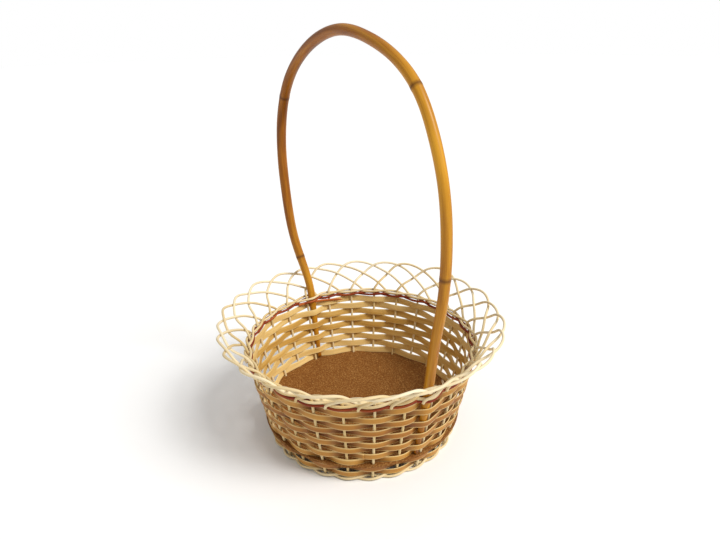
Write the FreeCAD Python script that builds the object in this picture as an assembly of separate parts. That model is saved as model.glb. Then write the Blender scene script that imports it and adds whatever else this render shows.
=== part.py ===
import FreeCAD, Part
import math
import os

# A round cane basket on a raised hardboard base, with a looped fringe and a tall arched handle.
# Millimetres, +Z up. The origin is on the floor under the middle of the basket. The handle stands
# over the X axis and leans a little towards -Y.

# Driving sizes of the wall
stakeCount = 26                 # upright canes, an even number so that every woven ring closes
footRadius = 102.0              # circle of the stakes' centres on the floor
rimRadius = 125.0               # circle of the stakes' centres at the rim
wallBulge = 1.5                 # how far the middle of the wall stands out from a straight cone
legStakeGap = 0.78              # at the rim, between the handle's leg and the stake beside it

# Materials as they come off the bundle
stakeDiameter = 2.8
footRodDiameter = 2.6           # round canes twined round the foot
rimRodDiameter = 2.3            # round canes twined round the rim
dyedDiameter = 2.1              # round dyed canes twined just below those of the rim
splintWidth = 7.2               # flat woven cane
splintThickness = 0.8
handleDiameter = 9.6
weaveClearance = 0.25           # between canes that pass over each other
legClearance = 0.5              # between a leg of the handle and the canes that bend round it

# Base board
boardThickness = 3.0
boardEdge = 3.4                 # board beyond the circle of the stakes' centres
boardHoleClearance = 0.2        # all round each stake

# Woven rows
rowsBelowBoard = 2
rowsAboveBoard = 9
rowGap = 1.2                    # open slit between two rows

# Fringe of loops above the rim
fringeReach = 29.0              # how far the loops' tips stand out from the rim
fringeRise = 26.0               # how far they stand above it

# Handle
handleTaper = 1.8               # how much thicker the pole is at its far shoulder
handleLean = 11.0               # how far the arch leans sideways above the rim
handleEase = 60.0               # height above the rim over which it leans and thickens
legEndDiameter = 4.8            # the legs are whittled down towards their ends in the weave
legEndGap = 2.0                 # between the board and the end of a leg
legDodgeTurn = 4.5              # degrees over which the weave bends out round a leg

# Heights, from the floor up. Two twined canes lie one above the other where they cross.
footPairHeight = 2 * footRodDiameter + weaveClearance
dyedPairHeight = 2 * dyedDiameter + weaveClearance
rimPairHeight = 2 * rimRodDiameter + weaveClearance
rowPitch = splintWidth + rowGap
boardBottom = footPairHeight + rowsBelowBoard * rowPitch
boardTop = boardBottom + boardThickness
rowsTop = boardTop + rowsAboveBoard * rowPitch
dyedTop = rowsTop + dyedPairHeight
rimHeight = dyedTop + weaveClearance + rimPairHeight
legEndHeight = boardTop + legEndGap

firstStake = math.asin((handleDiameter / 2 + stakeDiameter / 2 + legStakeGap) / rimRadius)
stakeTurn = 2 * math.pi / stakeCount
wallStretch = math.hypot(rimRadius - footRadius, rimHeight) / rimHeight     # level over square
legDodge = math.radians(legDodgeTurn)

# One fringe loop: stakes passed clockwise, share of the fringe's slope, and canes off its surface.
# It rises near its own stake, turns over and comes down outside the rim three and a half stakes on.
# The third number takes it over one neighbour and under the next.
loopTop = 1.35
loopPoints = [
    (0.00, 0.00, 0.00), (0.17, 0.20, 0.58), (0.50, 0.57, -0.58), (0.91, 0.88, 0.58),
    (loopTop, 1.00, 0.00), (1.88, 0.89, -0.58), (2.50, 0.58, 0.58), (3.20, 0.20, -0.58),
    (3.42, 0.06, -1.30), (3.50, 0.00, -2.00), (3.50, -0.08, -3.00)]

caneSides = 8                   # flats round a cane
ringSteps = 6                   # places along a woven ring for each stake
wallSteps = 16                  # places along a stake from floor to rim
loopSteps = 40                  # places along its loop
legSteps = 5                    # places along a leg in the weave
archSteps = 60                  # places along the whole handle
sewTolerance = 1e-4

# The handle above the rim: distance from the basket's axis in rim radii, and height over the rim.
archBends = [
    (1.144, 65.6), (1.236, 111.6), (1.252, 161.6), (1.2, 205.6), (1.076, 244.6), (0.896, 276.6),
    (0.616, 299.1), (0.304, 311.4), (-0.04, 316.9), (-0.4, 310.1), (-0.784, 289.6),
    (-1.08, 259.6), (-1.252, 222.6), (-1.32, 172.6), (-1.276, 121.6), (-1.18, 65.6)]
archPoints = [(share * rimRadius, rimHeight + above) for share, above in archBends]


def polar(radius, turn, height):
    return FreeCAD.Vector(radius * math.cos(turn), radius * math.sin(turn), height)


def wallRadius(height):
    # straight cone from foot to rim, plus a parabola that bulges its middle
    share = height / rimHeight
    return footRadius + (rimRadius - footRadius) * share + 4 * wallBulge * share * (1 - share)


def legRadius(height):
    # full size at the rim, whittled evenly down to the leg's end
    share = (height - legEndHeight) / (rimHeight - legEndHeight)
    share = max(0.0, min(1.0, share))
    return (legEndDiameter + (handleDiameter - legEndDiameter) * share) / 2


def aboveRim(height):
    # 0 up to the rim, then eases to 1 over the height that the arch leans in
    above = max(0.0, height - rimHeight) / handleEase
    return 1 - math.exp(-above ** 2)


def poleRadius(distance, height):
    # the leg's radius, and the pole's taper from one shoulder of the arch to the other
    near = max(distance for distance, height in archPoints)
    far = min(distance for distance, height in archPoints)
    share = max(0.0, min(1.0, (near - distance) / (near - far)))
    return legRadius(height) + handleTaper / 2 * share * aboveRim(height)


def bell(turn):
    # 1 at a leg and 0 away from it; a turn is taken to the nearest way round
    nearest = math.remainder(turn, 2 * math.pi)
    return math.exp(-(nearest / legDodge) ** 2)


def weaveOffset(turn, side, halfThickness, height):
    # a woven cane swings out past one stake and in past the next, and wider round a leg
    swing = (stakeDiameter / 2 + halfThickness + weaveClearance) * wallStretch
    beat = stakeCount / 2
    offset = swing * math.cos(beat * (turn - firstStake))
    if height > boardTop:
        wide = (legRadius(height) + halfThickness + legClearance) * wallStretch
        extra = wide - swing * math.cos(beat * firstStake)
        offset += extra * (bell(turn) - bell(turn - math.pi))
    return side * offset


def steppedCurve(points, parameters, closed):
    # smooth curve through the points, which it passes at the given parameters
    curve = Part.BSplineCurve()
    curve.interpolate(Points=points, PeriodicFlag=closed, Parameters=parameters)
    return curve


def ruledFace(first, second):
    # straight across from one lengthwise curve to the next, which shares its knots
    surface = Part.BSplineSurface()
    surface.buildFromPolesMultsKnots(
        [first.getPoles(), second.getPoles()], [2, 2], first.getMultiplicities(), [0, 1],
        first.getKnots(), False, first.isPeriodic(), 1, first.Degree)
    return surface.toShape()


def skin(sections, closed):
    # solid through matching outlines, with one ruled face between each two lengthwise edges
    middles = [sum(section, FreeCAD.Vector()) / len(section) for section in sections]
    following = middles[1:] + middles[:1] if closed else middles[1:]
    parameters = [0.0]
    for middle, after in zip(middles, following):
        parameters.append(parameters[-1] + middle.distanceToPoint(after))
    curves = [steppedCurve(list(corner), parameters, closed) for corner in zip(*sections)]
    faces = [ruledFace(curves[place - 1], curve) for place, curve in enumerate(curves)]
    if not closed:
        for section in (sections[0], sections[-1]):
            faces.append(Part.Face(Part.makePolygon(section + section[:1])))
    shell = Part.makeShell(faces)
    shell.sewShape()
    solid = Part.makeSolid(shell)
    solid.fix(sewTolerance, sewTolerance, sewTolerance)
    return solid


def roundCane(points, facing, radii, closed=False):
    # cane with a flat-sided round section; facing keeps the section from twisting
    sections = []
    last = len(points) - 1
    for place, point in enumerate(points):
        before = points[place - 1] if closed or place > 0 else point
        after = points[(place + 1) % len(points)] if closed or place < last else point
        along = (after - before).normalize()
        side = along.cross(facing[place]).normalize()
        up = side.cross(along)
        section = []
        for corner in range(caneSides):
            angle = 2 * math.pi * (corner + 0.5) / caneSides
            section.append(point + (up * math.cos(angle) + side * math.sin(angle)) * radii[place])
        sections.append(section)
    if not closed:
        foot = sections[0]
        for corner in foot:
            corner.z = points[0].z
    return skin(sections, closed)


def ringTurns():
    # even turns round the basket
    steps = stakeCount * ringSteps
    return [2 * math.pi * step / steps for step in range(steps)]


def makeSplint(row, height):
    # flat cane ring that follows the wall's slope
    side = 1 if row % 2 else -1
    low, high = height - splintWidth / 2, height + splintWidth / 2
    half = splintThickness / 2
    sections = []
    for turn in ringTurns():
        section = []
        for level, depth in ((low, -half), (low, half), (high, half), (high, -half)):
            offset = weaveOffset(turn, side, half, level)
            section.append(polar(wallRadius(level) + offset + depth, turn, level))
        sections.append(section)
    return skin(sections, True)


def makeRod(side, height, diameter):
    # round cane ring that swings in and out, and rises or dips where it crosses its partner
    lift = (diameter + weaveClearance) / 2
    points = []
    for turn in ringTurns():
        offset = weaveOffset(turn, side, diameter / 2, height)
        rise = side * lift * math.sin(stakeCount / 2 * (turn - firstStake))
        points.append(polar(wallRadius(height) + offset, turn, height + rise))
    facing = [FreeCAD.Vector(0, 0, 1)] * len(points)
    return roundCane(points, facing, [diameter / 2] * len(points), closed=True)


def fringePoint(turn, share, lift, lean):
    # place on the fringe's cone, pushed off it by lift and out round a leg by lean
    slope = math.hypot(fringeReach, fringeRise)
    off = lift * stakeDiameter / slope
    radius = rimRadius + fringeReach * share - fringeRise * off + lean
    return polar(radius, turn, rimHeight + fringeRise * share + fringeReach * off)


def handlePath():
    # the handle's middle from one leg's end over the arch to the other, before it leans
    leg = []
    for step in range(legSteps + 1):
        height = legEndHeight + (rimHeight - legEndHeight) * step / legSteps
        leg.append((wallRadius(height), height))
    outline = leg + archPoints + [(-distance, height) for distance, height in reversed(leg)]
    bend = Part.BSplineCurve()
    bend.interpolate([FreeCAD.Vector(distance, 0, height) for distance, height in outline])
    return bend.toShape().discretize(archSteps)


def legDistance(path, side, height):
    # where the handle's middle passes a height on one side, between two places on its path
    for start, end in zip(path, path[1:]):
        if start.x * side > 0 and (start.z - height) * (end.z - height) <= 0:
            return start.x + (end.x - start.x) * (height - start.z) / (end.z - start.z)
    return side * wallRadius(height)


def clearOfLegs(point, path):
    # moves a fringe point sideways off either leg, fading out with distance
    keep = (handleDiameter + stakeDiameter) / 2 + 2 * weaveClearance
    for side in (1, -1):
        axis = legDistance(path, side, point.z)
        away = FreeCAD.Vector(point.x - axis, point.y + handleLean * aboveRim(point.z), 0)
        gap = away.Length
        pushed = (gap ** 4 + keep ** 4) ** 0.25
        away.normalize()
        point = point + away * (pushed - gap)
    return point


def loopPlaces():
    # even steps along one loop, drawn flat in millimetres and turned back into shares
    across = rimRadius * stakeTurn
    slope = math.hypot(fringeReach, fringeRise)
    flat = Part.BSplineCurve()
    flat.interpolate([FreeCAD.Vector(stakes * across, share * slope, lift * stakeDiameter)
                      for stakes, share, lift in loopPoints])
    steps = flat.toShape().discretize(loopSteps)[1:]
    return [(step.x / across, step.y / slope, step.z / stakeDiameter) for step in steps]


def makeStake(index, handle):
    # upright from the floor, then on above the rim as one fringe loop
    turn = firstStake + stakeTurn * index
    path = []
    facing = []
    for step in range(wallSteps):
        height = rimHeight * step / wallSteps
        path.append(polar(wallRadius(height), turn, height))
        facing.append(polar(1, turn, 0))
    legWide = legRadius(rimHeight) + rimRodDiameter / 2
    for stakes, share, lift in loopPlaces():
        here = turn - stakes * stakeTurn
        lean = 0
        if stakes > loopTop:
            lean = legWide * (bell(here) + bell(here - math.pi)) * (1 - share) ** 2
        path.append(clearOfLegs(fringePoint(here, share, lift, lean), handle))
        facing.append(polar(1, here, 0))
    return roundCane(path, facing, [stakeDiameter / 2] * len(path))


def makeBoard():
    # disc with a hole for each stake near its edge
    middle = (boardBottom + boardTop) / 2
    board = Part.makeCylinder(wallRadius(middle) + boardEdge, boardThickness,
                              FreeCAD.Vector(0, 0, boardBottom))
    holeRadius = stakeDiameter / 2 + boardHoleClearance
    holes = []
    for index in range(stakeCount):
        turn = firstStake + stakeTurn * index
        low = polar(wallRadius(boardBottom), turn, boardBottom)
        high = polar(wallRadius(boardTop), turn, boardTop)
        along = (high - low).normalize()
        holes.append(Part.makeCylinder(holeRadius, 3 * boardThickness,
                                       low - along * boardThickness, along))
    return board.cut(Part.makeCompound(holes)).Solids[0]


def makeHandle():
    # tapered pole bent to an arch that leans, both legs whittled where they stand in the weave
    path = handlePath()
    radii = [poleRadius(point.x, point.z) for point in path]
    for point in path:
        point.y = -handleLean * aboveRim(point.z)
    facing = [FreeCAD.Vector(0, 1, 0)] * archSteps
    return roundCane(path, facing, radii)


def main():
    os.makedirs("parts", exist_ok=True)
    nodes = {"base_board": makeBoard(), "handle_cane": makeHandle()}
    for index in range(stakeCount):
        nodes["stake_%02d" % (index + 1)] = makeStake(index, handlePath())
    starts = [footPairHeight] * rowsBelowBoard + [boardTop] * rowsAboveBoard
    for row, start in enumerate(starts):
        place = row if row < rowsBelowBoard else row - rowsBelowBoard
        height = start + (place + 0.5) * rowPitch
        nodes["weaver_row_%02d" % (row + 1)] = makeSplint(row, height)
    pairs = {
        "foot_rod": (footPairHeight / 2, footRodDiameter),
        "dyed_strand": (rowsTop + dyedPairHeight / 2, dyedDiameter),
        "rim_rod": (rimHeight - rimPairHeight / 2, rimRodDiameter)}
    for name, (height, diameter) in pairs.items():
        nodes[name + "_inner_first"] = makeRod(-1, height, diameter)
        nodes[name + "_outer_first"] = makeRod(1, height, diameter)
    for name, shape in nodes.items():
        print(name, shape.ShapeType, shape.isValid(), round(shape.Volume, 1))
        shape.exportStep("parts/%s.step" % name)


main()
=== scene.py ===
import math

import bpy
import numpy as np
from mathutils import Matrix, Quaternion, Vector


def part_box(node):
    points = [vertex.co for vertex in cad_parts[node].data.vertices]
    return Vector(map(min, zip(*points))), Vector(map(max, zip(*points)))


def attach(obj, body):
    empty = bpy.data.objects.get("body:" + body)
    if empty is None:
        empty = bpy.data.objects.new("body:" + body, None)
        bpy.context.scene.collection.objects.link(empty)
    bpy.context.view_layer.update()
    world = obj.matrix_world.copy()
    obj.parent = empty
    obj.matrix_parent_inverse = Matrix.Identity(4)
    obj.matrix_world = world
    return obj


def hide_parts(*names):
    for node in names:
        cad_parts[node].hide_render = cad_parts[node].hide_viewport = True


# A round cane basket with a looped fringe, a hardboard base and one tall bent handle.
# Sizes are in millimetres and are turned to metres where a mesh is made.

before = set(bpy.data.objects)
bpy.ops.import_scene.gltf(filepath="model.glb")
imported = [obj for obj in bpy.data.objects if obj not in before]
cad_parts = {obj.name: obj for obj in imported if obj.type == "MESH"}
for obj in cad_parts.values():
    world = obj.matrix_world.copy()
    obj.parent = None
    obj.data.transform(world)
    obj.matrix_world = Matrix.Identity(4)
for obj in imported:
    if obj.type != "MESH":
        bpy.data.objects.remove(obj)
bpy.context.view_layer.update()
mm = 0.001
grainSpan = 5000.0                          # each cane is cut from somewhere in this much grain

basket = {
    "stakes": 26,
    "footRadius": 102.0,
    "rimRadius": 125.0,
    "bulge": 1.5,                           # the wall's middle, out from a straight cone
    "firstStake": math.radians(3.2),
    "stakeWide": 2.8,
    "weaveClearance": 0.25,
    "legClearance": 0.5,
    "legDodge": math.radians(4.5),          # turn over which the weave bends round a leg
    "handleWide": 9.6,
    "legEndWide": 4.8,
    "legEndGap": 2.0,
}
stakeTurn = 2 * math.pi / basket["stakes"]
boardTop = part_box("base_board")[1].z / mm
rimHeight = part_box("rim_rod_outer_first")[1].z / mm
legEndHeight = boardTop + basket["legEndGap"]


def middleOf(node):
    # half-way between a node's lowest and highest points
    low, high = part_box(node)
    return (low.z + high.z) / 2 / mm


def wallRadius(height):
    # foot + (rim - foot) x share + 4 x bulge x share x (1 - share), share = height / rim height
    share = height / rimHeight
    cone = basket["footRadius"] + (basket["rimRadius"] - basket["footRadius"]) * share
    return cone + 4 * basket["bulge"] * share * (1 - share)


def legRadius(height):
    # end + (full - end) x share, share = the part of the way from the leg's end up to the rim
    share = np.clip((height - legEndHeight) / (rimHeight - legEndHeight), 0, 1)
    return (basket["legEndWide"] + (basket["handleWide"] - basket["legEndWide"]) * share) / 2


def bell(turn):
    # exp(-(turn / dodge)^2), the turn taken the nearest way round
    nearest = (turn + math.pi) % (2 * math.pi) - math.pi
    return np.exp(-(nearest / basket["legDodge"]) ** 2)


def weaveSwing(turn, side, half, height):
    # side x (swing x cos(turn x stakes / 2) + the room for a leg x (bell here - bell opposite))
    swing = basket["stakeWide"] / 2 + half + basket["weaveClearance"]
    beat = basket["stakes"] / 2
    wide = legRadius(height) + half + basket["legClearance"]
    extra = (wide - swing * math.cos(beat * basket["firstStake"])) * (height > boardTop)
    swung = swing * np.cos(beat * (turn - basket["firstStake"]))
    return side * (swung + extra * (bell(turn) - bell(turn - math.pi)))


def polar(radius, turn, height):
    # (radius x cos turn, radius x sin turn, height)
    radius, turn, height = np.broadcast_arrays(radius, turn, height)
    return np.stack([radius * np.cos(turn), radius * np.sin(turn), height], -1)


def wander(position, harmonics, size, dice):
    # size x sum of sin(k x position + phase) / sqrt(number of harmonics k)
    phases = dice.uniform(0, 2 * np.pi, len(harmonics))
    waves = np.sin(np.multiply.outer(position, harmonics) + phases)
    return size * waves.sum(-1) / math.sqrt(len(harmonics))


def lengthsAlong(path):
    # running sum of the distances between neighbours
    steps = np.linalg.norm(np.diff(path, axis=0), axis=1)
    return np.concatenate([[0.0], np.cumsum(steps)])


def splineThrough(points, count):
    # natural cubic over chord length, p = a p0 + b p1 + ((a^3 - a) m0 + (b^3 - b) m1) h^2 / 6,
    # the bends m solved from equal slopes at each point, then spaced evenly by length
    knots = lengthsAlong(points)
    steps = np.diff(knots)
    size = len(points)
    matrix = np.eye(size)
    inner = np.arange(1, size - 1)
    matrix[inner, inner - 1] = steps[:-1]
    matrix[inner, inner] = 2 * (steps[:-1] + steps[1:])
    matrix[inner, inner + 1] = steps[1:]
    slopes = np.diff(points, axis=0) / steps[:, None]
    right = np.zeros_like(points)
    right[1:-1] = 6 * np.diff(slopes, axis=0)
    bends = np.linalg.solve(matrix, right)
    fine = np.linspace(0, knots[-1], count * 20)
    place = np.clip(np.searchsorted(knots, fine, side="right") - 1, 0, size - 2)
    step = steps[place][:, None]
    b = (fine - knots[place])[:, None] / step
    a = 1 - b
    curved = ((a ** 3 - a) * bends[place] + (b ** 3 - b) * bends[place + 1]) * step ** 2 / 6
    dense = a * points[place] + b * points[place + 1] + curved
    run = lengthsAlong(dense)
    even = np.linspace(0, run[-1], count)
    return np.stack([np.interp(even, run, column) for column in dense.T], -1)


def gridMesh(name, grid, along, section, tone, rings=0.0, beats=0.0):
    # P(i, j) = grid[i, j] with j round the section; one more length than rows closes the ring,
    # otherwise a fan closes each end. Corners carry (length, across, deep) in millimetres, and
    # points carry (tone, node ring, out or in past a stake).
    rows, sides = grid.shape[:2]
    closed = len(along) > rows
    i = np.arange(rows if closed else rows - 1)[:, None]
    j = np.arange(sides)[None, :]
    first, after = i * sides, (i + 1) % rows * sides
    right = (j + 1) % sides
    quads = np.stack([first + j, first + right, after + right, after + j], -1).reshape(-1, 4)
    lengths = np.stack([along[i] + 0 * j, along[i] + 0 * j, along[i + 1] + 0 * j,
                        along[i + 1] + 0 * j], -1).reshape(-1)
    points = grid.reshape(-1, 3)
    points[:, 2] = np.maximum(points[:, 2], 0)             # nothing dips below the floor
    across = section.reshape(-1, 2)
    faces = quads.tolist()
    if not closed:
        last = (rows - 1) * sides
        ends = rows * sides + np.arange(2)
        ring, turned = np.arange(sides), (np.arange(sides) + 1) % sides
        foot = np.stack([ends[0] + 0 * ring, turned, ring], -1)
        head = np.stack([ends[1] + 0 * ring, last + ring, last + turned], -1)
        points = np.concatenate([points, [grid[0].mean(0), grid[-1].mean(0)]])
        across = np.concatenate([across, np.zeros((2, 2))])
        faces += foot.tolist() + head.tolist()
        lengths = np.concatenate([lengths, np.full(foot.size, along[0]),
                                  np.full(head.size, along[-1])])
    mesh = bpy.data.meshes.new(name)
    mesh.from_pydata((points * mm).tolist(), [], faces)
    corners = np.zeros(len(mesh.loops), np.int32)
    mesh.loops.foreach_get("vertex_index", corners)
    grain = np.column_stack([lengths, across[corners]]).astype(np.float32)
    layer = mesh.attributes.new("grain", "FLOAT_VECTOR", "CORNER")
    layer.data.foreach_set("vector", grain.ravel())
    marks = np.zeros((len(mesh.vertices), 3), np.float32)
    rowMarks = np.stack([np.broadcast_to(mark, rows) for mark in (tone, rings, beats)], -1)
    marks[:, 0] = rowMarks[-1, 0]
    marks[:rows * sides] = np.repeat(rowMarks, sides, axis=0)
    layer = mesh.attributes.new("marks", "FLOAT_VECTOR", "POINT")
    layer.data.foreach_set("vector", marks.ravel())
    mesh.polygons.foreach_set("use_smooth", np.ones(len(mesh.polygons), bool))
    mesh.update()
    return mesh


def caneMesh(name, path, facing, radii, sides, tone, start=0.0, closed=False, rings=0.0):
    # P(i, a) = path + radius x (side x cos a + up x sin a), up = facing squared to the path
    if closed:
        along = np.roll(path, -1, 0) - np.roll(path, 1, 0)
    else:
        along = np.gradient(path, axis=0)
    along /= np.linalg.norm(along, axis=1, keepdims=True)
    up = facing - along * (facing * along).sum(1, keepdims=True)
    up /= np.linalg.norm(up, axis=1, keepdims=True)
    side = np.cross(up, along)
    angle = 2 * np.pi * np.arange(sides) / sides
    flat = np.stack([np.cos(angle), np.sin(angle)], -1)
    section = radii[:, None, None] * flat
    grid = path[:, None] + side[:, None] * section[..., :1] + up[:, None] * section[..., 1:]
    lengths = lengthsAlong(np.concatenate([path, path[:1]]) if closed else path)
    return gridMesh(name, grid, lengths + start, section, tone, rings)


def addPiece(name, mesh, material, nodes):
    # an object at the origin that rides on the body and stands for the CAD nodes it replaces
    mesh.materials.append(material)
    piece = bpy.data.objects.new(name, mesh)
    bpy.context.scene.collection.objects.link(piece)
    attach(piece, "root")
    if nodes:
        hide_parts(*nodes)


def linear(colour):
    # sRGB to linear light: c / 12.92 up to 0.04045, else ((c + 0.055) / 1.055) ^ 2.4
    c = np.array([int(colour[k:k + 2], 16) for k in (1, 3, 5)]) / 255
    light = np.where(c <= 0.04045, c / 12.92, ((c + 0.055) / 1.055) ** 2.4)
    return (*light.tolist(), 1.0)


def addNode(tree, kind, settings, inputs, stops=()):
    # one node with its settings, its inputs set or linked, and a ramp's stops if it has any
    node = tree.nodes.new(kind)
    for name, value in settings.items():
        setattr(node, name, value)
    for key, value in inputs.items():
        if isinstance(value, bpy.types.NodeSocket):
            tree.links.new(value, node.inputs[key])
        else:
            node.inputs[key].default_value = value
    for place, (position, colour) in enumerate(stops):
        if place < 2:
            element = node.color_ramp.elements[place]
            element.position = position
        else:
            element = node.color_ramp.elements.new(position)
        element.color = linear(colour)
    return node


def streaks(tree, grain, size, detail, roughness):
    # noise drawn out along the cane, in cells of size[0] by size[1] millimetres
    long, wide = size
    space = addNode(tree, "ShaderNodeVectorMath", {"operation": "MULTIPLY"},
                    {0: grain.outputs["Vector"], 1: (1 / long, 1 / wide, 1 / wide)})
    return addNode(tree, "ShaderNodeTexNoise", {},
                   {"Vector": space.outputs[0], "Scale": 1.0, "Detail": detail,
                    "Roughness": roughness})


def caneMaterial(look):
    # colour = ramp(piece's tone + long blotches + fibres), with the outer face's painted shade, the
    # painted shade behind stakes, edges with painted highlight and node rings laid over it
    material = bpy.data.materials.new(look["name"])
    material.use_nodes = True
    tree = material.node_tree
    shader = tree.nodes["Principled BSDF"]
    grain = addNode(tree, "ShaderNodeAttribute", {"attribute_name": "grain"}, {})
    marks = addNode(tree, "ShaderNodeAttribute", {"attribute_name": "marks"}, {})
    mark = addNode(tree, "ShaderNodeSeparateXYZ", {}, {0: marks.outputs["Vector"]})
    fibre = streaks(tree, grain, look["fibre"], 4.0, 0.65)
    blotch = streaks(tree, grain, look["blotch"], 2.0, 0.5)
    streaky = addNode(tree, "ShaderNodeMath", {"operation": "MULTIPLY_ADD"},
                      {0: fibre.outputs["Fac"], 1: look["fibreShare"], 2: mark.outputs[0]})
    mixed = addNode(tree, "ShaderNodeMath", {"operation": "MULTIPLY_ADD"},
                    {0: blotch.outputs["Fac"], 1: look["blotchShare"],
                     2: streaky.outputs[0]})
    shift = (look["fibreShare"] + look["blotchShare"]) / 2
    level = addNode(tree, "ShaderNodeMath", {"operation": "SUBTRACT"},
                    {0: mixed.outputs[0], 1: shift})
    colour = addNode(tree, "ShaderNodeValToRGB", {}, {"Fac": level.outputs[0]},
                     look["colours"]).outputs["Color"]
    # the outer face: a browner bark side, with painted shade multiplied over it
    if "outer" in look:
        inner, full, share, barkAndShadeColour = look["outer"]
        split = addNode(tree, "ShaderNodeSeparateXYZ", {}, {0: grain.outputs["Vector"]})
        outer = addNode(tree, "ShaderNodeMapRange", {},
                        {0: split.outputs[2], 1: inner, 2: full, 3: 0.0, 4: share})
        colour = addNode(tree, "ShaderNodeMix", {"data_type": "RGBA", "blend_type": "MULTIPLY"},
                         {0: outer.outputs[0], 6: colour, 7: linear(barkAndShadeColour)}).outputs[2]
        # painted shade on the outer face, darker the further the splint passes in behind a stake
        shadeFrom, shadeFull, recessShadeShare, recessShadeColour = look["recessShade"]
        inwards = addNode(tree, "ShaderNodeMapRange", {},
                          {0: mark.outputs[2], 1: shadeFrom, 2: shadeFull, 3: 0.0, 4: recessShadeShare})
        recessShade = addNode(tree, "ShaderNodeMath", {"operation": "MULTIPLY"},
                       {0: outer.outputs[0], 1: inwards.outputs[0]})
        colour = addNode(tree, "ShaderNodeMix", {"data_type": "RGBA", "blend_type": "MULTIPLY"},
                         {0: recessShade.outputs[0], 6: colour, 7: linear(recessShadeColour)}).outputs[2]
    # paler frayed edges, lightened further by painted highlight along them
    if "edge" in look:
        inner, outer, share, edgeAndHighlightColour = look["edge"]
        split = addNode(tree, "ShaderNodeSeparateXYZ", {}, {0: grain.outputs["Vector"]})
        reach = addNode(tree, "ShaderNodeMath", {"operation": "ABSOLUTE"},
                        {0: split.outputs[1]})
        edge = addNode(tree, "ShaderNodeMapRange", {},
                       {0: reach.outputs[0], 1: inner, 2: outer, 3: 0.0, 4: share})
        colour = addNode(tree, "ShaderNodeMix", {"data_type": "RGBA"},
                         {0: edge.outputs[0], 6: colour, 7: linear(edgeAndHighlightColour)}).outputs[2]
    if "ring" in look:
        ring = addNode(tree, "ShaderNodeMath", {"operation": "MULTIPLY"},
                       {0: mark.outputs[1], 1: look["ring"][0]})
        colour = addNode(tree, "ShaderNodeMix", {"data_type": "RGBA"},
                         {0: ring.outputs[0], 6: colour,
                          7: linear(look["ring"][1])}).outputs[2]
    gloss = addNode(tree, "ShaderNodeMapRange", {},
                    {0: fibre.outputs["Fac"], 3: look["roughness"][0],
                     4: look["roughness"][1]})
    bump = addNode(tree, "ShaderNodeBump", {},
                   {"Strength": look["bump"], "Distance": look["fibreDeep"] * mm,
                    "Height": fibre.outputs["Fac"]})
    tree.links.new(colour, shader.inputs["Base Color"])
    tree.links.new(gloss.outputs[0], shader.inputs["Roughness"])
    tree.links.new(bump.outputs[0], shader.inputs["Normal"])
    shader.inputs["IOR"].default_value = look["ior"]
    shader.inputs["Specular IOR Level"].default_value = look["specular"]
    shader.inputs["Coat Weight"].default_value = look["coat"]
    shader.inputs["Coat Roughness"].default_value = look["coatRoughness"]
    return material


# In each look: "fibre" and "blotch" are a streak's length and width in mm, and each share is how far
# it moves the colour along the ramp. "outer" is from and to which depth in mm the outer face starts,
# its share and colour: a browner bark side with painted shade over it. The entry after it is the
# same from outside to inside a stake, for painted shade where the splint passes in behind one.
# "edge" is the same from and to which distance in mm from the middle, for paler frayed edges with
# painted highlight on them. "ring" is the node rings' share and colour.

# Peeled rattan core, cut round by a die and left bare: pale cream, dull, with fine long fibres.
coreReed = caneMaterial({
    "name": "peeled_rattan_core",
    "colours": [(0.0, "#93703E"), (0.45, "#D2B67E"), (1.0, "#ECDDBA")],
    "fibre": (18.0, 0.45), "fibreShare": 0.4, "blotch": (45.0, 3.0), "blotchShare": 0.6,
    "fibreDeep": 0.12, "bump": 0.35, "roughness": (0.5, 0.7), "ior": 1.5, "specular": 0.3,
    "coat": 0.0, "coatRoughness": 0.25,
})
# Flat splint, split from the core and shaved: golden straw inside, browner on its bark side with
# painted shade over the outer face, painted shade where it passes in behind a stake, a soft sheen,
# and paler frayed edges with painted highlight along them.
flatReed = caneMaterial({
    "name": "flat_rattan_splint",
    "colours": [(0.0, "#8A5518"), (0.45, "#C79A4A"), (1.0, "#EDCF8C")],
    "fibre": (22.0, 0.5), "fibreShare": 0.5, "blotch": (60.0, 5.0), "blotchShare": 0.7,
    # the outer-face entry browns the bark side and paints shade over it; the entry after it paints
    # shade where the splint passes in behind a stake
    "outer": (-0.1, 0.3, 1.0, "#D2B070"), "recessShade": (0.6, -0.9, 0.85, "#835A30"),
    # paler frayed edges with painted highlight along them
    "edge": (2.4, 3.6, 0.65, "#E6CC8E"),
    "fibreDeep": 0.14, "bump": 0.4, "roughness": (0.4, 0.6), "ior": 1.5, "specular": 0.3,
    "coat": 0.0, "coatRoughness": 0.25,
})
# Core reed boiled in a red-brown dye: maroon, dull, orange where the dye took badly.
dyedReed = caneMaterial({
    "name": "dyed_rattan_core",
    "colours": [(0.0, "#4E1204"), (0.55, "#842E0A"), (1.0, "#BC6424")],
    "fibre": (16.0, 0.45), "fibreShare": 0.35, "blotch": (24.0, 3.0), "blotchShare": 1.0,
    "fibreDeep": 0.12, "bump": 0.35, "roughness": (0.5, 0.7), "ior": 1.5, "specular": 0.3,
    "coat": 0.0, "coatRoughness": 0.25,
})
# Whole rattan pole with its skin on, steamed to its bend and varnished: honey orange, glossy.
poleCane = caneMaterial({
    "name": "varnished_rattan_pole",
    "colours": [(0.0, "#562404"), (0.45, "#985A0C"), (1.0, "#CF9428")],
    "fibre": (34.0, 0.7), "fibreShare": 0.6, "blotch": (60.0, 6.0), "blotchShare": 1.0,
    "ring": (0.75, "#4A2408"),
    "fibreDeep": 0.08, "bump": 0.3, "roughness": (0.3, 0.45), "ior": 1.5, "specular": 0.2,
    "coat": 0.04, "coatRoughness": 0.25,
})


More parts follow.
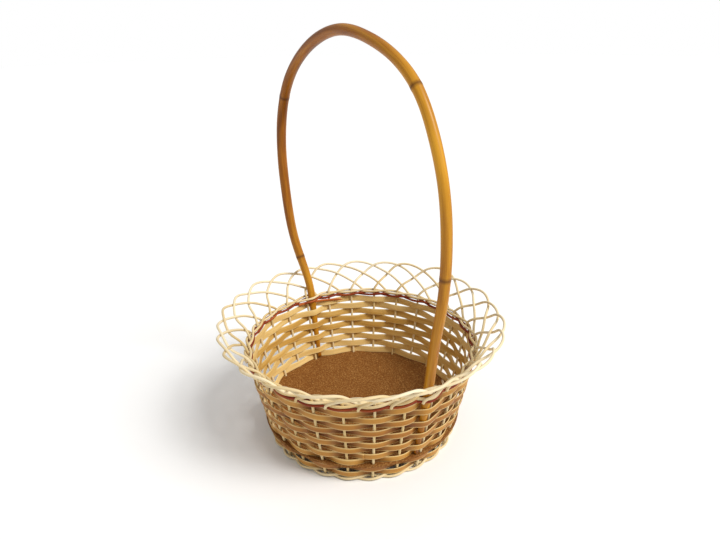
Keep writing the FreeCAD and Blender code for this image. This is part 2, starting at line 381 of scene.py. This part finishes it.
# Tempered hardboard, pressed from wood fibre: matt mid brown with fine pale and dark flecks.
hardboard = {
    "name": "pressed_hardboard",
    "fleck": 1.6,                           # mm; real flecks are finer and would not show
    "cloud": 22.0,                          # mm
    "cloudShare": 0.1,
    "grit": 0.5,                            # mm
    "gritDeep": 0.15,                       # mm
    "bump": 0.3,
    "colours": [(0.36, "#613A12"), (0.56, "#7D4C1B"), (0.80, "#B58C50")],
    "roughness": 0.8,
    "ior": 1.5,
    "specular": 0.2,
}


def boardMaterial():
    # colour = ramp(flecks + share x clouds), with a bump of fine grit
    material = bpy.data.materials.new(hardboard["name"])
    material.use_nodes = True
    tree = material.node_tree
    shader = tree.nodes["Principled BSDF"]
    place = addNode(tree, "ShaderNodeTexCoord", {}, {}).outputs["Object"]
    fleck = addNode(tree, "ShaderNodeTexNoise", {},
                    {"Vector": place, "Scale": 1 / (hardboard["fleck"] * mm), "Detail": 3.0,
                     "Roughness": 0.7})
    cloud = addNode(tree, "ShaderNodeTexNoise", {},
                    {"Vector": place, "Scale": 1 / (hardboard["cloud"] * mm), "Detail": 2.0})
    grit = addNode(tree, "ShaderNodeTexNoise", {},
                   {"Vector": place, "Scale": 1 / (hardboard["grit"] * mm), "Detail": 2.0})
    mixed = addNode(tree, "ShaderNodeMath", {"operation": "MULTIPLY_ADD"},
                    {0: cloud.outputs["Fac"], 1: hardboard["cloudShare"],
                     2: fleck.outputs["Fac"]})
    colour = addNode(tree, "ShaderNodeValToRGB", {}, {"Fac": mixed.outputs[0]},
                     hardboard["colours"])
    bump = addNode(tree, "ShaderNodeBump", {},
                   {"Strength": hardboard["bump"], "Distance": hardboard["gritDeep"] * mm,
                    "Height": grit.outputs["Fac"]})
    tree.links.new(colour.outputs["Color"], shader.inputs["Base Color"])
    tree.links.new(bump.outputs[0], shader.inputs["Normal"])
    shader.inputs["Roughness"].default_value = hardboard["roughness"]
    shader.inputs["IOR"].default_value = hardboard["ior"]
    shader.inputs["Specular IOR Level"].default_value = hardboard["specular"]
    return material


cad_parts["base_board"].material_slots[0].material = boardMaterial()
print("materials made")

# Upright stakes, each running on above the rim as one loop of the fringe. A loop is drawn flat
# as (stakes passed clockwise, share of the fringe's slope, canes off its surface).
stakes = {
    "sides": 12,
    "wallSteps": 30,
    "loopSteps": 150,
    "reach": 29.0,
    "rise": 26.0,
    "loopTop": 1.35,
    "loop": [(0.00, 0.00, 0.00), (0.17, 0.20, 0.58), (0.50, 0.57, -0.58), (0.91, 0.88, 0.58),
             (1.35, 1.00, 0.00), (1.88, 0.89, -0.58), (2.50, 0.58, 0.58),
             (3.20, 0.20, -0.58), (3.42, 0.06, -1.20), (3.50, 0.00, -1.80),
             (3.52, -0.05, -2.30)],
    "tipSpread": 0.035,                     # of the slope, from loop to loop
    "sideSpread": 0.07,                     # of a stake's turn, at the tip
    "wobble": 0.25,
    "wobbleWaves": (3, 9),                  # along the whole cane, from and up to
    "wobbleOver": 8.0,                      # height above the rim over which it sets in
    "wideSpread": 0.03,                     # of its width, along the cane
    "wideWaves": (5, 30, 3),
    "tone": (0.4, 0.7),                     # of the colours, from cane to cane
    # painted light: the fringe loops are painted paler the further out past the rim they stand,
    # where the light falls on them
    "litPaling": 0.25,                         # paler by this share of the colours, out in the light
    "litPalingOver": 22.0,
    "seed": 3,
}


def fringePlace(turn, share, lift, lean):
    # on the cone at rim + reach x share, then square off it by lift canes, and out by lean
    slope = math.hypot(stakes["reach"], stakes["rise"])
    off = lift * basket["stakeWide"] / slope
    radius = basket["rimRadius"] + stakes["reach"] * share - stakes["rise"] * off + lean
    return polar(radius, turn, rimHeight + stakes["rise"] * share + stakes["reach"] * off)


def clearOfLegs(points):
    # each point goes sideways off either leg from gap to (gap^4 + keep^4)^(1/4)
    keep = (basket["handleWide"] + basket["stakeWide"]) / 2 + 2 * basket["weaveClearance"]
    lean = (handle["arch"][0][0] - basket["rimRadius"]) / (handle["arch"][0][1] - rimHeight)
    for side in (1, -1):
        away = points * (1, 1, 0)
        away[..., 0] -= side * (basket["rimRadius"] + lean * (points[..., 2] - rimHeight))
        away[..., 1] += handle["lean"] * aboveRim(points[..., 2])
        gap = np.linalg.norm(away, axis=-1, keepdims=True)
        points = points + away / gap * ((gap ** 4 + keep ** 4) ** 0.25 - gap)
    return points


# The whole pole of the handle. The fringe keeps clear of it, so it is described here.
handle = {                                  # the arch: distance from the axis, and height
    "arch": [(143.0, 176.0), (154.5, 222.0), (156.5, 272.0), (150.0, 316.0), (134.5, 355.0),
             (112.0, 387.0), (77.0, 409.5), (38.0, 421.8), (-5.0, 427.3), (-50.0, 420.5),
             (-98.0, 400.0), (-135.0, 370.0), (-156.5, 333.0), (-165.0, 283.0),
             (-159.5, 232.0), (-147.5, 176.0)],
    "taper": 1.8,                           # how much thicker the far shoulder is
    "lean": 11.0,
    "ease": 60.0,                           # height above the rim over which it leans
    "legSteps": 5,
    "steps": 320,
    "sides": 24,
    "rings": [(-144.4, 353.6), (110.4, 387.9), (154.7, 242.7), (-138.0, 158.0)],
    "ringWide": 1.1,
    "ringSwell": 0.28,
    "swellWide": 2.5,                       # ring widths
    "wideSpread": 0.012,
    "wideWaves": (4, 20, 3),
    # shares of the pole's length and its tone there: the cane's own uneven colour together with
    # painted light on the stretches the lamp catches and painted shade on those turned away
    "lightAndToneAlong": [0.0, 0.06, 0.2, 0.32, 0.42, 0.52, 0.66, 0.8, 0.9, 1.0],
    "lightAndTones": [0.3, 0.72, 0.6, 0.85, 0.6, 0.35, 0.28, 0.45, 0.8, 0.6],
    "seed": 11,
}


def aboveRim(height):
    # 1 - exp(-(height above the rim / ease)^2), and 0 below it
    return 1 - np.exp(-(np.maximum(height - rimHeight, 0) / handle["ease"]) ** 2)


def makeStakes():
    # straight up the wall's cone, then along the loop, with a slow sway and a little unevenness
    dice = np.random.default_rng(stakes["seed"])
    across = basket["rimRadius"] * stakeTurn
    slope = math.hypot(stakes["reach"], stakes["rise"])
    scale = np.array([across, slope, basket["stakeWide"]])
    loop = splineThrough(np.array(stakes["loop"]) * scale, stakes["loopSteps"])[1:] / scale
    passed, share, lift = loop.T
    rimTurns = basket["firstStake"] + stakeTurn * np.arange(basket["stakes"])
    tipReach = dice.normal(0, stakes["tipSpread"], basket["stakes"])
    tipSide = dice.normal(0, stakes["sideSpread"], basket["stakes"])
    heights = rimHeight * np.arange(stakes["wallSteps"]) / stakes["wallSteps"]
    legWide = legRadius(rimHeight) + basket["stakeWide"] / 2
    for index, turn in enumerate(rimTurns):
        rising = np.clip(share, 0, 1) ** 2
        here = turn - (passed + tipSide[index] * rising) * stakeTurn
        coming = (passed > stakes["loopTop"]) * (1 - share) ** 2
        lean = legWide * (bell(here) + bell(here - math.pi)) * coming
        top = fringePlace(here, share * (1 + tipReach[index] * rising), lift, lean)
        path = np.concatenate([polar(wallRadius(heights), turn, heights), clearOfLegs(top)])
        turns = np.concatenate([np.full(len(heights), turn), here])
        run = lengthsAlong(path)
        position = run / run[-1] * 2 * np.pi
        sway = wander(position, np.arange(*stakes["wobbleWaves"]), stakes["wobble"], dice)
        sway *= np.clip((path[:, 2] - rimHeight) / stakes["wobbleOver"], 0, 1)
        path[:, 2] += sway
        uneven = wander(position, np.arange(*stakes["wideWaves"]), stakes["wideSpread"], dice)
        radii = basket["stakeWide"] / 2 * (1 + uneven)
        # painted light: paler the further out past the rim the cane runs
        outside = np.hypot(path[:, 0], path[:, 1]) - basket["rimRadius"]
        litPaled = stakes["litPaling"] * np.clip(outside / stakes["litPalingOver"], 0, 1)
        mesh = caneMesh("stake_cane_%02d" % (index + 1), path, polar(1, turns, 0 * turns),
                        radii, stakes["sides"], dice.uniform(*stakes["tone"]) + litPaled,
                        dice.uniform(0, grainSpan))
        addPiece(mesh.name, mesh, coreReed, ["stake_%02d" % (index + 1)])


makeStakes()
print("stakes and fringe loops made")

# Flat splints, one ring to a row, woven over one stake and under the next. The ends of a row
# lie one on the other for a little over two stakes.
splints = {
    "rows": 11,
    "wide": 7.3,
    "thick": 0.8,
    "spread": 0.8,                          # wider where it is pressed over a stake
    "stepsPerStake": 14,
    "around": 16,
    "startAt": 0.35,                        # stakes past one stake
    "overlap": 2.3,                         # stakes
    "rampStakes": 0.6,
    "layer": 0.9,                           # how far one end lies off the other
    "rise": 0.3,
    "riseWaves": (1, 14),                   # round the basket, from and up to
    "widthSpread": 0.22,
    "widthWaves": (2, 30, 3),
    "squareness": 4.5,
    "tone": (0.3, 0.8),
    "seed": 5,
}


def makeSplints():
    # r = wall + swing past the stakes + layer at the ends, round a flat oval with squared corners
    dice = np.random.default_rng(splints["seed"])
    angle = 2 * np.pi * np.arange(splints["around"]) / splints["around"]
    power = 2 / splints["squareness"]
    flatX = np.sign(np.cos(angle)) * np.abs(np.cos(angle)) ** power
    flatY = np.sign(np.sin(angle)) * np.abs(np.sin(angle)) ** power
    for row in range(splints["rows"]):
        side = 1 if row % 2 else -1
        middle = middleOf("weaver_row_%02d" % (row + 1))
        place = dice.integers(basket["stakes"]) + splints["startAt"]
        start = basket["firstStake"] + place * stakeTurn
        span = 2 * math.pi + splints["overlap"] * stakeTurn
        steps = int(splints["stepsPerStake"] * span / stakeTurn)
        passed = np.linspace(0, span, steps)
        turn = (start + passed)[:, None]
        beat = side * np.cos(basket["stakes"] / 2 * (turn - basket["firstStake"]))
        left, gone = (span - passed)[:, None] / stakeTurn, passed[:, None] / stakeTurn
        ending = np.clip((splints["overlap"] + splints["rampStakes"] - left)
                         / splints["rampStakes"], 0, 1)
        starting = np.clip((splints["overlap"] + splints["rampStakes"] - gone)
                           / splints["rampStakes"], 0, 1)
        layer = splints["layer"] * ((1 + beat) / 2 * ending - (1 - beat) / 2 * starting)
        rise = wander(turn[:, 0], np.arange(*splints["riseWaves"]), splints["rise"], dice)[:, None]
        wide = splints["wide"] + wander(turn[:, 0], np.arange(*splints["widthWaves"]),
                                        splints["widthSpread"], dice)[:, None]
        wide = wide + splints["spread"] * (1 + beat) / 2
        level = middle + rise + wide / 2 * flatX
        depth = splints["thick"] / 2 * flatY
        swing = weaveSwing(turn, side, splints["thick"] / 2, level)
        grid = polar(wallRadius(level) + swing + layer + depth, turn, level)
        section = np.stack([wide / 2 * flatX, depth + 0 * wide], -1)
        lengths = passed * wallRadius(middle) + dice.uniform(0, grainSpan)
        mesh = gridMesh("flat_weaver_%02d" % (row + 1), grid, lengths, section,
                        dice.uniform(*splints["tone"]), beats=beat[:, 0])
        addPiece(mesh.name, mesh, flatReed, ["weaver_row_%02d" % (row + 1)])


makeSplints()
print("woven rows made")

# Three pairs of round canes, twined over each other at the foot, just under the rim and at the rim.
rods = {
    "stepsPerStake": 14,
    "sides": 12,
    "wobble": 0.1,
    "wobbleWaves": (2, 20, 3),              # round the basket, from, up to and step
    "wideSpread": 0.03,
    "wideWaves": (3, 60, 5),
    "tone": (0.45, 0.7),
    "crossing": 0.8,                        # between their middles where they cross, in diameters
    "seed": 8,
    "pairs": [                              # nodes' name, diameter, shift up, material, slot
        ("foot_rod", 2.6, 0.4, coreReed, "natural_cane"),
        ("dyed_strand", 2.8, 0.7, dyedReed, "dyed_cane"),
        ("rim_rod", 2.8, -0.4, coreReed, "natural_cane"),
    ],
}


def makeRods():
    # r = wall + swing past the stakes, z = middle + crossing x width / 2 x sin(turn x stakes / 2)
    dice = np.random.default_rng(rods["seed"])
    steps = basket["stakes"] * rods["stepsPerStake"]
    turn = 2 * np.pi * np.arange(steps) / steps
    for name, wide, shift, material, slot in rods["pairs"]:
        for side, order in ((-1, "inner_first"), (1, "outer_first")):
            node = name + "_" + order
            middle = middleOf(node) + shift
            lift = side * wide * rods["crossing"] / 2
            swing = weaveSwing(turn, side, wide / 2, middle)
            rise = lift * np.sin(basket["stakes"] / 2 * (turn - basket["firstStake"]))
            rise += wander(turn, np.arange(*rods["wobbleWaves"]), rods["wobble"], dice)
            path = polar(wallRadius(middle) + swing, turn, middle + rise)
            uneven = wander(turn, np.arange(*rods["wideWaves"]), rods["wideSpread"], dice)
            radii = wide / 2 * (1 + uneven)
            mesh = caneMesh(name.replace("rod", "cane") + "_" + order[:5] + "_round", path,
                            np.zeros_like(path) + (0, 0, 1), radii, rods["sides"],
                            dice.uniform(*rods["tone"]), dice.uniform(0, grainSpan), closed=True)
            addPiece(mesh.name, mesh, material, [node])


makeRods()
print("borders and dyed strands made")

# The dyed strand's spare end, which lies inside the wall under the rim and runs out to a point.
spareEnd = {
    "from": math.radians(190.0),
    "to": math.radians(161.0),
    "drop": 4.5,                            # from the dyed strands' level down to the tip
    "dropPower": 1.5,
    "inside": 4.1,                          # from the stakes' circle
    "tuck": 1.2,                            # nearer to that circle where it starts
    "tuckPower": 4,
    "high": 1.5,                            # half its height and half its thickness
    "deep": 0.9,
    "tipShare": 0.12,                       # of its length that narrows to the tip
    "tipEnd": 0.08,                         # what is left of that at the very end
    "tipPower": 0.6,
    "tone": 0.95,
    "steps": 60,
    "sides": 12,
}


def makeSpareEnd():
    # turn from start to tip, z = level - drop x share^power, oval section shrinking at the tip
    share = np.linspace(0, 1, spareEnd["steps"])[:, None]
    turn = spareEnd["from"] + (spareEnd["to"] - spareEnd["from"]) * share
    drop = spareEnd["drop"] * share ** spareEnd["dropPower"]
    middle = middleOf("dyed_strand_inner_first") - drop
    left = np.clip((1 - share) / spareEnd["tipShare"], spareEnd["tipEnd"], 1)
    taper = left ** spareEnd["tipPower"]
    angle = -2 * np.pi * np.arange(spareEnd["sides"]) / spareEnd["sides"]
    across = spareEnd["high"] * np.cos(angle) * taper
    deep = spareEnd["deep"] * np.sin(angle) * taper
    tuck = spareEnd["tuck"] * (1 - share) ** spareEnd["tuckPower"]
    inside = wallRadius(middle) - spareEnd["inside"] + tuck
    grid = polar(inside + deep, turn, middle + across)
    lengths = lengthsAlong(grid.mean(1))
    mesh = gridMesh("dyed_spare_end", grid, lengths, np.stack([across, deep], -1),
                    spareEnd["tone"])
    addPiece(mesh.name, mesh, dyedReed, [])


makeSpareEnd()

# Frayed slivers of splint that stand up inside the wall beside the near leg.
slivers = {
    "count": 9,
    "turn": math.radians(11.0),
    "turnSpread": math.radians(3.2),
    "belowRim": (6, 16),
    "inside": 3.2,                          # from the stakes' circle
    "length": 9.0,
    "lengths": (0.6, 1.1),                  # of that length
    "inwards": (0.25, 0.6),                 # parts of its direction
    "sideways": (-0.8, 0.5),
    "upwards": (0.5, 0.9),
    "curlAround": 3,
    "curlInwards": 3,
    "wide": 0.8,
    "narrowing": 0.75,                      # of its width, at the tip
    "tone": 0.9,
    "steps": 14,
    "sides": 8,
    "seed": 21,
}


def makeSlivers():
    # start + out x length x share + curl x share^2, a thin round sliver that narrows to its tip
    dice = np.random.default_rng(slivers["seed"])
    for index in range(slivers["count"]):
        share = np.linspace(0, 1, slivers["steps"])[:, None]
        turn = slivers["turn"] + dice.normal(0, slivers["turnSpread"])
        height = rimHeight - dice.uniform(*slivers["belowRim"])
        start = polar(wallRadius(height) - slivers["inside"], turn, height)
        inward, around = polar(-1, turn, 0), np.array([-math.sin(turn), math.cos(turn), 0])
        out = inward * dice.uniform(*slivers["inwards"])
        out = out + around * dice.uniform(*slivers["sideways"])
        out = out + (0, 0, dice.uniform(*slivers["upwards"]))
        length = slivers["length"] * dice.uniform(*slivers["lengths"])
        curl = around * dice.uniform(-slivers["curlAround"], slivers["curlAround"])
        curl = curl + inward * dice.uniform(0, slivers["curlInwards"])
        path = start + out * length * share + curl * share ** 2
        radii = slivers["wide"] / 2 * (1 - slivers["narrowing"] * share[:, 0])
        mesh = caneMesh("frayed_sliver_%d" % (index + 1), path, np.zeros_like(path) + inward,
                        radii, slivers["sides"], slivers["tone"])
        addPiece(mesh.name, mesh, coreReed, [])


makeSlivers()
print("loose ends made")


def makeHandle():
    # y = -lean x aboveRim, radius = leg + taper / 2 x share, and a swelling at each node ring
    dice = np.random.default_rng(handle["seed"])
    heights = np.linspace(legEndHeight, rimHeight, handle["legSteps"] + 1)
    leg = np.stack([wallRadius(heights), heights], -1)
    arch = np.array(handle["arch"])
    flat = splineThrough(np.concatenate([leg, arch, leg[::-1] * (-1, 1)]), handle["steps"])
    distance, height = flat.T
    path = np.stack([distance, -handle["lean"] * aboveRim(height), height], -1)
    run = lengthsAlong(path)
    position = run / run[-1] * 2 * np.pi
    near, far = arch[:, 0].max(), arch[:, 0].min()
    share = np.clip((near - distance) / (near - far), 0, 1) * aboveRim(height)
    radii = legRadius(height) + handle["taper"] / 2 * share
    radii *= 1 + wander(position, np.arange(*handle["wideWaves"]), handle["wideSpread"], dice)
    nearest = np.linalg.norm(flat[:, None] - np.array(handle["rings"]), axis=-1).argmin(0)
    gaps = (run[:, None] - run[nearest]) / handle["ringWide"]
    radii += handle["ringSwell"] * np.exp(-(gaps / handle["swellWide"]) ** 2).sum(1)
    # tone along the pole: its own uneven colour with painted light and painted shade laid in
    tone = np.interp(run / run[-1], handle["lightAndToneAlong"], handle["lightAndTones"])
    mesh = caneMesh("handle_pole", path, np.zeros_like(path) + (0, 1, 0), radii,
                    handle["sides"], tone, rings=np.exp(-gaps ** 2).sum(1))
    addPiece(mesh.name, mesh, poleCane, ["handle_cane"])


makeHandle()
print("handle made")

stage = {
    "floorRadius": 6.0,                     # metres
    "floorSides": 64,
    "floorColour": "#F4F3F1",
    "floorRoughness": 0.9,
    "skyColour": "#FFFFFF",
    "ambient": 0.55,                        # the sky's strength as light, and as it is seen
    "backdrop": 1.0,
    "keyFrom": (0.62, -0.3, 0.72),          # right, away and up
    "keySoftness": math.radians(24.0),
    "keyStrength": 2.9,
}
camera = {
    "azimuth": 60.0,
    "distance": 0.5831,                     # metres from the axis along the floor
    "height": 0.4435,
    "pitch": 23.47,
    "roll": -0.86,
    "lens": 30.0,
    "sensor": 36.0,
    "clip": (0.01, 50.0),                   # metres
}


def makeStage():
    # a flat round floor, an even pale sky and one wide soft lamp
    angle = 2 * np.pi * np.arange(stage["floorSides"]) / stage["floorSides"]
    ring = np.stack([np.cos(angle), np.sin(angle), 0 * angle], -1) * stage["floorRadius"]
    mesh = bpy.data.meshes.new("floor")
    mesh.from_pydata(ring.tolist(), [], [list(range(stage["floorSides"]))])
    paint = bpy.data.materials.new("matt_white_paint")
    paint.use_nodes = True
    shader = paint.node_tree.nodes["Principled BSDF"]
    shader.inputs["Base Color"].default_value = linear(stage["floorColour"])
    shader.inputs["Roughness"].default_value = stage["floorRoughness"]
    mesh.materials.append(paint)
    floor = bpy.data.objects.new("floor", mesh)
    bpy.context.scene.collection.objects.link(floor)
    world = bpy.data.worlds.new("studio")
    world.use_nodes = True
    tree = world.node_tree
    sky = tree.nodes["Background"]
    seen = addNode(tree, "ShaderNodeLightPath", {}, {}).outputs["Is Camera Ray"]
    strength = addNode(tree, "ShaderNodeMapRange", {},
                       {0: seen, 3: stage["ambient"], 4: stage["backdrop"]})
    sky.inputs["Color"].default_value = linear(stage["skyColour"])
    tree.links.new(strength.outputs[0], sky.inputs["Strength"])
    bpy.context.scene.world = world
    turn = math.radians(camera["azimuth"])
    right, away, up = stage["keyFrom"]
    lamp = bpy.data.lights.new("key_light", "SUN")
    lamp.energy = stage["keyStrength"]
    lamp.angle = stage["keySoftness"]
    light = bpy.data.objects.new("key_light", lamp)
    towards = Vector((right * math.cos(turn) - away * math.sin(turn),
                      right * math.sin(turn) + away * math.cos(turn), up))
    light.location = towards
    light.rotation_mode = "QUATERNION"
    light.rotation_quaternion = towards.to_track_quat("Z", "Y")
    bpy.context.scene.collection.objects.link(light)


def makeCamera():
    # stands at (sin azimuth, -cos azimuth) x distance, looks at the axis, pitched and rolled
    turn, pitch = math.radians(camera["azimuth"]), math.radians(camera["pitch"])
    lens = bpy.data.cameras.new("camera")
    lens.lens = camera["lens"]
    lens.sensor_width = camera["sensor"]
    lens.clip_start, lens.clip_end = camera["clip"]
    eye = bpy.data.objects.new("camera", lens)
    eye.location = (math.sin(turn) * camera["distance"], -math.cos(turn) * camera["distance"],
                    camera["height"])
    back = Vector((math.sin(turn) * math.cos(pitch), -math.cos(turn) * math.cos(pitch),
                   math.sin(pitch)))
    eye.rotation_mode = "QUATERNION"
    roll = Quaternion((0, 0, 1), math.radians(camera["roll"]))
    eye.rotation_quaternion = (-back).to_track_quat("-Z", "Y") @ roll
    bpy.context.scene.collection.objects.link(eye)
    bpy.context.scene.camera = eye


makeStage()
makeCamera()
bpy.context.scene.view_settings.view_transform = "Standard"
print("stage and camera ready")
